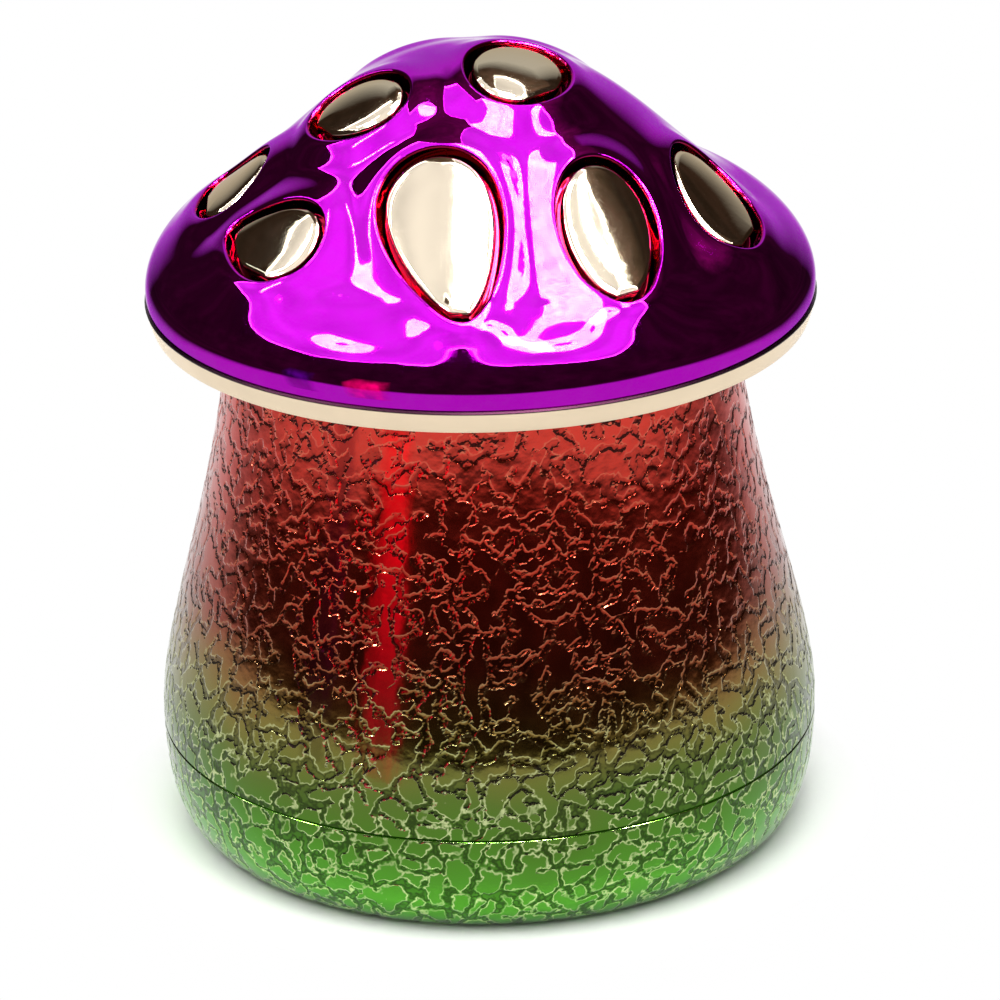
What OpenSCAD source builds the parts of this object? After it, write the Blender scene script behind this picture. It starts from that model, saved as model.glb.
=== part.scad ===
// Mushroom-shaped herb grinder: a domed cap with inlaid spots on a toothed lid,
// a toothed grinding chamber, a hollow stem with a sieve, and a screw-on tray.
// Units are millimetres. +Z is up and the origin is the middle of the tray's underside.
// Bearings run from the front (-Y) towards +X.

/* [Cap] */
// Widest diameter of the cap
cap_d = 62.8; // [60:0.1:66]
// Height of the cap above the metal band
cap_h = 23.4; // [22:0.1:26]
// Diameter where the cap's rounded brim turns into its upper slope
shoulder_d = 52.2; // [50:0.1:54]
// Height of that turn above the metal band
shoulder_h = 8.1; // [7:0.1:9]
// Wall of the cap, measured square to its plain surface
cap_wall = 2.8; // [2.4:0.1:3.2]

/* [Spots] */
// Depth of a spot's pocket below the cap's plain surface
pocket_depth = 1.1; // [0.8:0.1:1.4]
// Open groove round each inlay
groove_w = 0.65; // [0.5:0.05:1]
// Height of an inlay's crown above the cap's plain surface
crown_h = 1.2; // [1:0.1:1.6]
// Height of an inlay's upright edge above the cap's plain surface
inlay_edge_h = 0.5; // [0.2:0.1:0.7]
// Height of the swollen lip round each pocket
lip_h = 0.8; // [0.5:0.1:1.2]
// Distance over which the lip fades into the cap
lip_fade = 3.6; // [2.5:0.1:5]

/* [Lid] */
// Height of the metal band under the cap
band_h = 2.3; // [1.8:0.1:3]
// How far the band stands out past the widest part of the cap
band_lip = 0.1; // [0:0.05:0.5]
// Thickness of the lid's toothed plate
lid_t = 1.5; // [1.2:0.1:2]
// Wall of the lid's skirt round the chamber's collar
lid_wall = 1.8; // [1.4:0.1:2.2]
// Height of the rib that centres the cap
rib_h = 1.6; // [1:0.1:2]
// Width of the rib that centres the cap
rib_w = 1.2; // [0.8:0.1:1.5]
// Thickness of the slip ring under the lid
slip_ring_t = 0.6; // [0.4:0.1:0.8]

/* [Chamber] */
// Wall of the grinding chamber
chamber_wall = 1.5; // [1.2:0.1:1.8]
// Thickness of the grinding chamber's floor
chamber_floor_t = 1.6; // [1.2:0.1:2.2]
// Depth of the grinding chamber below the stem's top edge
chamber_depth = 7.5; // [7:0.1:8.5]
// Height of the chamber's collar above its flange
collar_h = 3.9; // [3:0.1:4.5]
// Thickness of the flange that rests on the stem
flange_t = 1.2; // [1:0.1:1.6]
// Radius of the holes that drop herb into the stem
drop_hole_r = 1.6; // [1.2:0.1:1.8]

/* [Teeth] */
// Radial width of a grinding tooth
tooth_w = 2.6; // [2.2:0.1:2.8]
// Length of a tooth round its ring
tooth_l = 4; // [3.4:0.1:4.4]
// Radial gap between neighbouring rings of teeth
tooth_gap = 0.7; // [0.5:0.05:0.8]
// Gap between the outer teeth and the chamber's wall
wall_gap = 1.1; // [0.8:0.05:1.3]
// Gap between a tooth's tip and the plate that it points at
tip_gap = 0.8; // [0.5:0.1:1.2]
// Height of the chamber's teeth
chamber_tooth_h = 9; // [7:0.1:10]

/* [Magnets] */
// Radius of each magnet
magnet_r = 3.5; // [3:0.1:4]
// Thickness of each magnet
magnet_t = 1.5; // [1.2:0.1:2]
// Wall of the boss round each magnet
boss_wall = 1.1; // [0.9:0.05:1.2]
// Gap between the two magnets with the lid on
magnet_space = 0.6; // [0.4:0.1:1]

/* [Stem] */
// Widest diameter of the stem
stem_d = 62.6; // [60:0.1:66]
// Outside diameter at the stem's top edge
neck_d = 47.8; // [46.5:0.1:50]
// Length of the stem that shows, from the seam to its top edge
stem_h = 38.8; // [35:0.1:44]
// Wall of the stem's hollow belly
stem_wall = 2.6; // [2:0.1:3.4]
// Wall of the stem behind its upper thread
neck_wall = 1.75; // [1.5:0.05:2]
// Length of the threaded skirt below the seam
skirt_l = 4.6; // [4.4:0.1:4.8]
// Wall of the threaded skirt
skirt_wall = 1.7; // [1.5:0.05:2]

/* [Sieve] */
// Thickness of the sieve
sieve_t = 0.3; // [0.2:0.05:0.5]
// Distance between neighbouring holes of the sieve
sieve_pitch = 4; // [3.5:0.1:5]
// Radius of the sieve's holes
sieve_hole_r = 1.2; // [0.8:0.1:1.4]
// Width of the ring that holds the sieve
keeper_w = 1.1; // [0.8:0.1:1.4]
// Height of the ring that holds the sieve
keeper_h = 1.3; // [1:0.1:1.5]

/* [Tray] */
// Diameter of the flat underside
foot_d = 52.4; // [50:0.1:55]
// Height of the seam between tray and stem
tray_h = 10.5; // [10:0.1:11.2]
// Height of the widest part of the stem above the table
belly_z = 11.5; // [11:0.1:13]
// Thickness of the tray's floor
tray_floor_t = 1.6; // [1.2:0.1:1.7]
// Radius of the bowl where it meets the floor
bowl_r = 25.2; // [24:0.1:25.6]

/* [Threads] */
// Rise of a thread in one turn
thread_pitch = 2; // [1.9:0.05:2.2]
// Height of a thread's ridge
thread_depth = 0.8; // [0.6:0.05:0.9]
// Turns of ridge on each threaded wall
thread_turns = 1.5; // [1.25:0.25:1.5]
// Width of a ridge at its foot
ridge_foot_w = 1.1; // [0.9:0.05:1.2]
// Width of a ridge at its crest
ridge_crest_w = 0.5; // [0.4:0.05:0.6]

/* [Fits] */
// Radial gap between a ridge's crest and the wall that it faces
thread_gap = 0.25; // [0.2:0.05:0.35]
// Gap between faces that rest on each other
seat_gap = 0.05; // [0.02:0.01:0.1]
// Radial gap between the lid's skirt and the chamber's collar
slide_gap = 0.3; // [0.2:0.05:0.4]
// Radial gap round pieces that are pressed or glued in
fit_gap = 0.05; // [0.02:0.01:0.1]

/* [Hidden] */

// Colours of the plating and lacquer
purple = [0.74, 0.02, 0.86];
champagne = [0.89, 0.81, 0.69];
gold = [0.93, 0.85, 0.68];
red_lacquer = [0.52, 0.15, 0.12];
green_lacquer = [0.34, 0.68, 0.16];
steel = [0.72, 0.73, 0.75];
nylon = [0.93, 0.92, 0.88];

// The spots: bearing, distance of the middle from the axis, half length, half width,
// lean of the long axis and how much the far end is fattened. Lengths are hundredths of the cap's radius
SPOT_TABLE = [
    [-8.5, 65.4, 27.4, 14.7, 287, -0.38],
    [33, 67.9, 23, 13.4, 71, 0.17],
    [72, 71.5, 19.8, 13.4, 43, 0.1],
    [-54, 74, 16.6, 11.8, 6, 0.43],
    [-90, 72.1, 14, 11.8, 24, 0.45],
    [-65, 38, 15.3, 11.5, 36, 0.08],
    [41, 18.2, 15.3, 13.1, 212, -0.07],
    [150, 74, 15.9, 11.5, 0, 0.2],
    [184, 74, 15.9, 11.5, 0, -0.1],
    [217, 74, 15.9, 11.5, 0, 0.15],
    [160, 45.9, 13.4, 11.2, 20, 0.1],
    [203, 45.9, 13.4, 11.2, -15, 0.1]
];

// Radii that the wall thicknesses lead to, from the outside inwards
cap_r = cap_d / 2;
band_r = cap_r + band_lip;
SPOTS = [for (s = SPOT_TABLE) [s[0], s[1] * cap_r / 100, s[2] * cap_r / 100, s[3] * cap_r / 100, s[4], s[5]]];
stem_r = stem_d / 2;
foot_r = foot_d / 2;
neck_r = neck_d / 2;
neck_bore_r = neck_r - neck_wall;
chamber_r = neck_bore_r - thread_gap - thread_depth;
chamber_bore_r = chamber_r - chamber_wall;
collar_r = chamber_r;
flange_inset = 0.4;
flange_r = neck_r - flange_inset;
lid_bore_r = collar_r + slide_gap;
lid_skirt_r = lid_bore_r + lid_wall;
boss_r = magnet_r + fit_gap + boss_wall;

// The lower threads sit inside the seam
seam_wall = 3;
tray_bore_r = stem_r - seam_wall;
skirt_r = tray_bore_r - thread_gap - thread_depth;
skirt_bore_r = skirt_r - skirt_wall;
ledge_w = 0.9;
ledge_r = skirt_bore_r - ledge_w;

// Heights, from the table up
stem_z = tray_h + seat_gap;
skirt_z = tray_h - skirt_l;
ledge_z = skirt_z + keeper_h + sieve_t + 3 * seat_gap;
stem_top_z = stem_z + stem_h;
chamber_z = stem_top_z - chamber_depth;
chamber_floor_z = chamber_z + chamber_floor_t;
flange_z = stem_top_z + seat_gap;
flange_top_z = flange_z + flange_t;
collar_top_z = flange_top_z + collar_h;
band_z = flange_top_z + 2 * seat_gap;
cap_z = band_z + band_h;
head_space = 2;
ceiling_z = collar_top_z + head_space;
plate_top_z = ceiling_z + lid_t;
chamber_boss_z = (chamber_floor_z + ceiling_z) / 2;
lid_boss_z = chamber_boss_z + magnet_space;

// Rings of teeth, from the chamber's wall inwards: lid, chamber, lid, chamber
ring_step = tooth_w + tooth_gap;
outer_ring_r = chamber_bore_r - wall_gap - tooth_w / 2;
lid_rings = [[outer_ring_r, 14], [outer_ring_r - 2 * ring_step, 8]];
chamber_rings = [[outer_ring_r - ring_step, 10], [outer_ring_r - 3 * ring_step, 6]];

// Curves and facets
curve_steps = 14;
thread_steps = 48;
cap_sides = 96;
cap_steps = 13;
egg_sides = 24;
round_steps = 64;
overlap = 0.3;
big = 100;

// A point and a list of points on a cubic curve
function bezier(p, t) =
    pow(1 - t, 3) * p[0] + 3 * t * pow(1 - t, 2) * p[1] + 3 * t * t * (1 - t) * p[2] + pow(t, 3) * p[3];
function curve(p, steps) = [for (i = [0 : steps]) bezier(p, i / steps)];
function without_first(list) = [for (i = [1 : len(list) - 1]) list[i]];
function reversed(list) = [for (i = [len(list) - 1 : -1 : 0]) list[i]];

// ---- Outline of tray and stem, as [radius, height] ----
foot_handle = 3.4;
belly_handle_low = 8;
belly_handle_high = 8.1;
neck_handle = [1.86, -17.6];
foot_curve = curve([
    [foot_r, 0],
    [foot_r + foot_handle, 0],
    [stem_r, belly_z - belly_handle_low],
    [stem_r, belly_z]
], curve_steps);
stem_curve = curve([
    [stem_r, belly_z],
    [stem_r, belly_z + belly_handle_high],
    [neck_r, stem_top_z] + neck_handle,
    [neck_r, stem_top_z]
], curve_steps);
body_outline = concat(foot_curve, without_first(stem_curve));
body_by_height = [for (p = body_outline) [p[1], p[0]]];
function body_r(z) = lookup(z, body_by_height);

// The outline from one height to another, moved inwards by a wall
function body_wall(low, high, inset) = concat(
    [[body_r(low) - inset, low]],
    [for (p = body_outline) if (p[1] > low + overlap && p[1] < high - overlap) [p[0] - inset, p[1]]],
    [[body_r(high) - inset, high]]
);

// ---- Plain outline of the cap above the band, as [radius, height] ----
brim_in = 0.15;
brim_rise = 1;
brim_points = 3;
edge_points = 6;
brim_handle = 3.5;
shoulder_r = shoulder_d / 2;
slope_handle = [-6.9, 3.25];
shoulder_handle = slope_handle * -0.25;
crown_handle = cap_r * 0.43;
rim_r = cap_r - brim_in;
cap_outline = concat(
    curve([
        [rim_r, 0],
        [cap_r - brim_in / 3, brim_rise / 4],
        [cap_r, brim_rise * 0.6],
        [cap_r, brim_rise]
    ], brim_points),
    without_first(curve([
        [cap_r, brim_rise],
        [cap_r, brim_rise + brim_handle],
        [shoulder_r, shoulder_h] + shoulder_handle,
        [shoulder_r, shoulder_h]
    ], edge_points)),
    without_first(curve([
        [shoulder_r, shoulder_h],
        [shoulder_r, shoulder_h] + slope_handle,
        [crown_handle, cap_h],
        [0, cap_h]
    ], cap_steps))
);
cap_slope_low = brim_points + edge_points;
cap_by_radius = [for (i = [len(cap_outline) - 1 : -1 : cap_slope_low]) cap_outline[i]];
function cap_height(r) = lookup(r, cap_by_radius);
slope_step = 0.5;
function cap_tilt(r) = atan((cap_height(r - slope_step) - cap_height(r + slope_step)) / (2 * slope_step));

// Unit normal of the outline at one of its points, and the outline moved inwards
function outline_normal(i) =
    let (
        a = cap_outline[max(i - 1, 0)],
        b = cap_outline[min(i + 1, len(cap_outline) - 1)],
        d = (b - a) / norm(b - a)
    )
    i == len(cap_outline) - 1 ? [0, 1] : [d[1], -d[0]];
function cap_inside(depth) = [
    for (i = [brim_points : len(cap_outline) - 1])
        let (p = cap_outline[i] - depth * outline_normal(i))
        if (p[0] < rim_r - depth) [max(p[0], 0), p[1]]
];

// ---- Spots on the cap ----
// A spot's frame: middle, direction of its long axis, direction across it, normal
function turned(bearing, r, z) = [r * sin(bearing), -r * cos(bearing), z];
function spot_frame(s) =
    let (
        tilt = cap_tilt(s[1]),
        middle = turned(s[0], s[1], cap_height(s[1])),
        across = [cos(s[0]), sin(s[0]), 0],
        normal = turned(s[0], sin(tilt), cos(tilt)),
        uphill = cross(normal, across)
    )
    [middle, cos(s[4]) * across + sin(s[4]) * uphill, cos(s[4]) * uphill - sin(s[4]) * across, normal];
SPOT_FRAMES = [for (s = SPOTS) spot_frame(s)];

// An egg-shaped outline round a spot, moved outwards by a margin
function egg(s, margin) = [
    for (i = [0 : egg_sides - 1])
        let (a = 360 * i / egg_sides)
        [(s[2] + margin) * cos(a), (s[3] + margin) * (1 + s[5] * cos(a)) * sin(a)]
];

// Slides a point along a spot's normal until it lies on the cap's plain surface
function onto_cap(p, normal, tries) =
    let (above = p[2] - cap_height(norm([p[0], p[1]])))
    tries == 0 ? p : onto_cap(p - above * normal[2] * normal, normal, tries - 1);

// The point of the plain surface under a spot's own coordinates, lifted along the normal
slide_tries = 4;
function spot_point(f, u, v, lift) = onto_cap(f[0] + u * f[1] + v * f[2], f[3], slide_tries) + lift * f[3];

// A spot's lip has faded away at this distance from its middle
lip_reach = cap_r * 0.64;

// How far a point lies outside a spot's egg, negative inside it
function beyond_egg(p, k) =
    let (
        s = SPOTS[k],
        f = SPOT_FRAMES[k],
        d = p - f[0],
        u = d * f[1],
        v = d * f[2],
        size = norm([u / s[2], v / (s[3] * (1 + s[5] * max(min(u / s[2], 1), -1)))])
    )
    norm(d) > lip_reach ? big : norm([u, v]) * (1 - 1 / max(size, 0.01));
function lip_at(p, k) = lip_h * exp(-2 * pow(max(beyond_egg(p, k) - groove_w, 0) / lip_fade, 2));
function lift_at(p) = norm([for (k = [0 : len(SPOTS) - 1]) lip_at(p, k)]);

// The cap's real surface: the plain surface of revolution swollen round the spots
module cap_body() {
    rings = len(cap_outline) - 1;
    points = concat(
        [
            for (i = [0 : rings - 1], j = [0 : cap_sides - 1])
                let (
                    bearing = 360 * j / cap_sides,
                    n = outline_normal(i),
                    p = turned(bearing, cap_outline[i][0], cap_outline[i][1])
                )
                p + lift_at(p) * (i == 0 ? 0 : 1) * turned(bearing, n[0], n[1])
        ],
        [[0, 0, cap_h + lift_at([0, 0, cap_h])]]
    );
    sides = [
        for (i = [0 : rings - 2], j = [0 : cap_sides - 1])
            let (a = i * cap_sides + j, b = i * cap_sides + (j + 1) % cap_sides)
            each [[a, a + cap_sides, b], [b, a + cap_sides, b + cap_sides]]
    ];
    crown = [
        for (j = [0 : cap_sides - 1])
            [(rings - 1) * cap_sides + j, rings * cap_sides, (rings - 1) * cap_sides + (j + 1) % cap_sides]
    ];
    bottom = [[for (j = [0 : cap_sides - 1]) j]];
    polyhedron(points, concat(sides, crown, bottom));
}

// Everything inside the plain surface by more than a depth
module cap_core(depth) {
    inside = cap_inside(depth);
    rotate_extrude($fn = round_steps)
        polygon(concat([[0, -1], [rim_r - depth, -1], [rim_r - depth, inside[0][1]]], inside));
}

// The drafted cutter of one pocket
module pocket(s) {
    tilt = cap_tilt(s[1]);
    draft = 0.2;
    reach = 5;
    rotate([0, 0, s[0]])
        translate([0, -s[1], cap_height(s[1])])
            rotate([tilt, 0, 0])
                rotate([0, 0, s[4]])
                    hull() {
                        translate([0, 0, -reach])
                            linear_extrude(overlap)
                                polygon(egg(s, groove_w - draft));
                        translate([0, 0, reach])
                            linear_extrude(overlap)
                                polygon(egg(s, groove_w + draft));
                    }
}

module cap_shell() {
    color(purple)
        translate([0, 0, cap_z])
            difference() {
                cap_body();
                cap_core(cap_wall);
                for (s = SPOTS)
                    difference() {
                        pocket(s);
                        cap_core(pocket_depth);
                    }
            }
}

// Height of an inlay over the plain surface, by share of the way from its middle to its edge
function dome_lift(share) = inlay_edge_h + (crown_h - inlay_edge_h) * (1 - share * share);

// A domed inlay that lies on the floor of its pocket
module spot(k) {
    s = SPOTS[k];
    f = SPOT_FRAMES[k];
    floor_lift = seat_gap - pocket_depth;
    shares = [1, 0.95, 0.82, 0.6, 0.3];
    outline = egg(s, 0);
    layers = concat(
        [[0.5, floor_lift], [1, floor_lift]],
        [for (share = shares) [share, dome_lift(share)]]
    );
    points = concat(
        [for (layer = layers, p = outline) spot_point(f, layer[0] * p[0], layer[0] * p[1], layer[1])],
        [spot_point(f, 0, 0, floor_lift), spot_point(f, 0, 0, crown_h)]
    );
    under = egg_sides * len(layers);
    sides = [
        for (i = [0 : len(layers) - 2], j = [0 : egg_sides - 1])
            let (a = i * egg_sides + j, b = i * egg_sides + (j + 1) % egg_sides)
            each [[a, a + egg_sides, b], [b, a + egg_sides, b + egg_sides]]
    ];
    ends = [
        for (j = [0 : egg_sides - 1])
            let (n = (j + 1) % egg_sides, top = under - egg_sides)
            each [[j, n, under], [top + n, top + j, under + 1]]
    ];
    color(gold)
        translate([0, 0, cap_z])
            polyhedron(points, concat(sides, ends));
}

// ---- Threads ----
// A helical ridge that rises anticlockwise, with its section as [radius, height] points
module helical_ridge(section, start_z) {
    steps = round(thread_steps * thread_turns);
    points = [
        for (i = [0 : steps], q = section)
            let (a = 360 * i / thread_steps)
            [q[0] * cos(a), q[0] * sin(a), start_z + thread_pitch * i / thread_steps + q[1]]
    ];
    sides = [
        for (i = [0 : steps - 1], k = [0 : 3])
            let (a = 4 * i + k, b = 4 * i + (k + 1) % 4)
            each [[a, b, b + 4], [a, b + 4, a + 4]]
    ];
    ends = [[3, 2, 1, 0], [for (k = [0 : 3]) 4 * steps + k]];
    polyhedron(points, concat(sides, ends));
}

module outside_ridge(wall_r, start_z)
    helical_ridge([
        [wall_r - overlap, -ridge_foot_w / 2],
        [wall_r + thread_depth, -ridge_crest_w / 2],
        [wall_r + thread_depth, ridge_crest_w / 2],
        [wall_r - overlap, ridge_foot_w / 2]
    ], start_z);

// Half a turn on from the outside ridge, and so half a pitch away from it
module inside_ridge(wall_r, start_z)
    rotate([0, 0, 180])
        helical_ridge([
            [wall_r - thread_depth, -ridge_crest_w / 2],
            [wall_r + overlap, -ridge_foot_w / 2],
            [wall_r + overlap, ridge_foot_w / 2],
            [wall_r - thread_depth, ridge_crest_w / 2]
        ], start_z);

lower_lead_in = 0.2;
upper_lead_in = 1;
lower_thread_z = skirt_z + lower_lead_in + ridge_foot_w / 2;
upper_thread_z = chamber_z + upper_lead_in + ridge_foot_w / 2;

// ---- Tray ----
module tray() {
    shelf_gap = 0.3;
    shelf_z = skirt_z - shelf_gap;
    bowl_round = 1.6;
    edge = 0.25;
    rim_r = body_r(tray_h);
    color(green_lacquer) {
        rotate_extrude()
            polygon(concat(
                [[0, 0], [foot_r, 0]],
                without_first(body_wall(0, tray_h - edge, 0)),
                [
                    [rim_r - edge, tray_h],
                    [tray_bore_r, tray_h],
                    [tray_bore_r, shelf_z],
                    [bowl_r + bowl_round, shelf_z],
                    [bowl_r + bowl_round, tray_floor_t + bowl_round],
                    [bowl_r, tray_floor_t],
                    [0, tray_floor_t]
                ]
            ));
        inside_ridge(tray_bore_r, lower_thread_z);
    }
}

// ---- Stem ----
module stem() {
    edge = 0.25;
    ledge_h = 2;
    low_margin = 2.5;
    high_margin = 1.5;
    bowl_low_z = belly_z + low_margin;
    bowl_high_z = chamber_z - high_margin;
    base_r = body_r(stem_z);
    color(red_lacquer) {
        rotate_extrude()
            polygon(concat(
                [[skirt_bore_r, skirt_z], [skirt_r, skirt_z], [skirt_r, stem_z]],
                [[base_r - edge, stem_z]],
                body_wall(stem_z + edge, stem_top_z - edge, 0),
                [
                    [neck_r - edge, stem_top_z],
                    [neck_bore_r, stem_top_z],
                    [neck_bore_r, bowl_high_z]
                ],
                reversed(body_wall(bowl_low_z, bowl_high_z - overlap, stem_wall)),
                [
                    [ledge_r, ledge_z + ledge_h],
                    [ledge_r, ledge_z],
                    [skirt_bore_r, ledge_z]
                ]
            ));
        outside_ridge(skirt_r, lower_thread_z);
        inside_ridge(neck_bore_r, upper_thread_z);
    }
}

// ---- Sieve and the ring that keeps it in the stem ----
module sieve_screen() {
    solid_rim = 0.5;
    reach = ledge_r - sieve_hole_r - solid_rim;
    rows = floor(reach / sieve_pitch);
    color(steel)
        translate([0, 0, ledge_z - seat_gap - sieve_t])
            difference() {
                cylinder(r = skirt_bore_r - fit_gap, h = sieve_t);
                for (i = [-rows : rows], j = [-rows : rows])
                    if (norm([i, j]) * sieve_pitch < reach)
                        translate([i * sieve_pitch, j * sieve_pitch, -overlap])
                            cylinder(r = sieve_hole_r, h = sieve_t + 2 * overlap);
            }
}

module sieve_keeper_ring() {
    color(champagne)
        translate([0, 0, skirt_z + seat_gap])
            difference() {
                cylinder(r = skirt_bore_r - fit_gap, h = keeper_h);
                translate([0, 0, -overlap])
                    cylinder(r = skirt_bore_r - keeper_w, h = keeper_h + 2 * overlap);
            }
}

// ---- Teeth ----
module tooth(h) {
    linear_extrude(h)
        polygon([[tooth_w / 2, 0], [0, tooth_l / 2], [-tooth_w / 2, 0], [0, -tooth_l / 2]]);
}

// Rings of teeth, each ring given as [radius, how many]
module teeth(rings, low_z, high_z) {
    for (ring = rings, i = [0 : ring[1] - 1])
        rotate([0, 0, 360 * i / ring[1]])
            translate([ring[0], 0, low_z])
                tooth(high_z - low_z);
}

// ---- Grinding chamber ----
module grind_chamber() {
    color(champagne) {
        difference() {
            rotate_extrude()
                polygon([
                    [0, chamber_z],
                    [chamber_r, chamber_z],
                    [chamber_r, flange_z],
                    [flange_r, flange_z],
                    [flange_r, flange_top_z],
                    [collar_r, flange_top_z],
                    [collar_r, collar_top_z],
                    [chamber_bore_r, collar_top_z],
                    [chamber_bore_r, chamber_floor_z],
                    [boss_r, chamber_floor_z],
                    [boss_r, chamber_boss_z],
                    [0, chamber_boss_z]
                ]);
            translate([0, 0, chamber_boss_z - magnet_t - seat_gap])
                cylinder(r = magnet_r + fit_gap, h = magnet_t + seat_gap + overlap);
            for (ring = lid_rings, i = [0 : ring[1] - 1])
                rotate([0, 0, 360 * (i + 0.5) / ring[1]])
                    translate([ring[0], 0, chamber_z - overlap])
                        cylinder(r = drop_hole_r, h = chamber_floor_t + 2 * overlap);
        }
        teeth(chamber_rings, chamber_floor_z - overlap, chamber_floor_z + chamber_tooth_h);
        outside_ridge(chamber_r, upper_thread_z);
    }
}

module chamber_magnet() {
    color(steel)
        translate([0, 0, chamber_boss_z - magnet_t])
            cylinder(r = magnet_r, h = magnet_t);
}

// ---- Lid ----
slip_ring_margin_in = 0.5;
slip_ring_margin_out = 0.2;
slip_ring_in = lid_bore_r + slip_ring_margin_in;
slip_ring_out = flange_r - slip_ring_margin_out;

module slip_ring() {
    color(nylon)
        translate([0, 0, band_z - seat_gap])
            difference() {
                cylinder(r = slip_ring_out, h = slip_ring_t);
                translate([0, 0, -overlap])
                    cylinder(r = slip_ring_in, h = slip_ring_t + 2 * overlap);
            }
}

module lid_plate() {
    edge = 0.5;
    small_edge = 0.15;
    taper = 0.5;
    rib_r = rim_r - cap_wall - fit_gap;
    groove_top_z = band_z + slip_ring_t;
    color(champagne) {
        difference() {
            rotate_extrude()
                polygon([
                    [boss_r, ceiling_z],
                    [boss_r, lid_boss_z],
                    [0, lid_boss_z],
                    [0, plate_top_z],
                    [lid_skirt_r, plate_top_z],
                    [lid_skirt_r, cap_z],
                    [rib_r - rib_w, cap_z],
                    [rib_r - rib_w, cap_z + rib_h],
                    [rib_r, cap_z + rib_h],
                    [rib_r, cap_z],
                    [band_r - small_edge, cap_z],
                    [band_r, cap_z - small_edge],
                    [band_r - taper, band_z + edge],
                    [band_r - taper - small_edge, band_z + small_edge],
                    [band_r - taper - edge, band_z],
                    [slip_ring_out + fit_gap, band_z],
                    [slip_ring_out + fit_gap, groove_top_z],
                    [slip_ring_in - fit_gap, groove_top_z],
                    [slip_ring_in - fit_gap, band_z],
                    [lid_bore_r, band_z],
                    [lid_bore_r, ceiling_z]
                ]);
            translate([0, 0, lid_boss_z - overlap])
                cylinder(r = magnet_r + fit_gap, h = magnet_t + seat_gap + overlap);
        }
        teeth(lid_rings, chamber_floor_z + tip_gap, ceiling_z + overlap);
    }
}

module lid_magnet() {
    color(steel)
        translate([0, 0, lid_boss_z])
            cylinder(r = magnet_r, h = magnet_t);
}

tray();
stem();
sieve_screen();
sieve_keeper_ring();
grind_chamber();
chamber_magnet();
slip_ring();
lid_plate();
lid_magnet();
cap_shell();
spot(0);  // spot_1
spot(1);  // spot_2
spot(2);  // spot_3
spot(3);  // spot_4
spot(4);  // spot_5
spot(5);  // spot_6
spot(6);  // spot_7
spot(7);  // spot_8
spot(8);  // spot_9
spot(9);  // spot_10
spot(10);  // spot_11
spot(11);  // spot_12
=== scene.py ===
"""Looks of a mushroom-shaped herb grinder: plated cap with gold inlays, grained lacquer stem and tray.

Shapes are worked out in millimetres in the row frame (+Z up, origin under the tray, front is -Y) and
become metres when a mesh is made. Bearings run from the front towards +X.
"""

import math

import bpy
import numpy as np
from mathutils import Matrix, Vector
from mathutils.geometry import delaunay_2d_cdt


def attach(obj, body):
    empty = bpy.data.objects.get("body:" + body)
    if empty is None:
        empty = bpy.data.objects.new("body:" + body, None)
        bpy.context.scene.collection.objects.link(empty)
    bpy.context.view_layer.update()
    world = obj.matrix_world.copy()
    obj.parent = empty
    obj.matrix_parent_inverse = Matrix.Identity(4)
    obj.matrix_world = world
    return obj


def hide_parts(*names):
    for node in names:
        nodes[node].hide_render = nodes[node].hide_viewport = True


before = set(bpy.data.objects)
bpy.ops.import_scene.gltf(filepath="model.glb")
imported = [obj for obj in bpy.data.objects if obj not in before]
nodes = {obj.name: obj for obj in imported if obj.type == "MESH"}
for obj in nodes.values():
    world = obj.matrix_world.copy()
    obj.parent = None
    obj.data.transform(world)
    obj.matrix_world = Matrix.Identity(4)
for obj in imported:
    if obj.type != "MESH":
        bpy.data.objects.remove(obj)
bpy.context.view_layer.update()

MM = 0.001

# ---- Sizes shared with the solids, in millimetres ----
CAP_R = 31.4
CAP_H = 23.4
CAP_Z = 53.0
CAP_WALL = 2.8
RIM_R = 31.25
BRIM_RISE = 1.0
BRIM_HANDLE = 3.5
SHOULDER = (26.1, 8.1)
POCKET_DEPTH = 1.1
GROOVE_W = 0.65
LIP_H = 0.8
LIP_FADE = 3.6
INLAY_EDGE = 0.5
INLAY_CROWN = 0.75
SEAT_GAP = 0.05

STEM_R = 31.3
NECK_R = 23.9
FOOT_R = 26.2
BELLY_Z = 11.5
TRAY_TOP_Z = 10.5
STEM_Z = 10.55
STEM_TOP_Z = 49.35
STEM_WALL = 2.6

TRAY_FLOOR = 1.6
TRAY_BORE_R = 28.3
SKIRT_R = 27.25
NECK_BORE_R = 22.15
RIM_EDGE_R = 31.1
SEAM_EDGE_R = 31.15
THREAD_PITCH = 2.0
THREAD_DEPTH = 0.8
THREAD_TURNS = 1.5
FOOT_THREAD_Z = 6.65
NECK_THREAD_Z = 43.4

# Spots: bearing, distance from the axis, half length, half width, lean, fattening of the far end.
# Lengths are hundredths of the cap's radius
SPOT_TABLE = [
    (-8.5, 65.4, 27.4, 14.7, 287, -0.38),
    (33, 67.9, 23, 13.4, 71, 0.17),
    (72, 71.5, 19.8, 13.4, 43, 0.1),
    (-54, 74, 16.6, 11.8, 6, 0.43),
    (-90, 72.1, 14, 11.8, 24, 0.45),
    (-65, 38, 15.3, 11.5, 36, 0.08),
    (41, 18.2, 15.3, 13.1, 212, -0.07),
    (150, 74, 15.9, 11.5, 0, 0.2),
    (184, 74, 15.9, 11.5, 0, -0.1),
    (217, 74, 15.9, 11.5, 0, 0.15),
    (160, 45.9, 13.4, 11.2, 20, 0.1),
    (203, 45.9, 13.4, 11.2, -15, 0.1),
]

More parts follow.
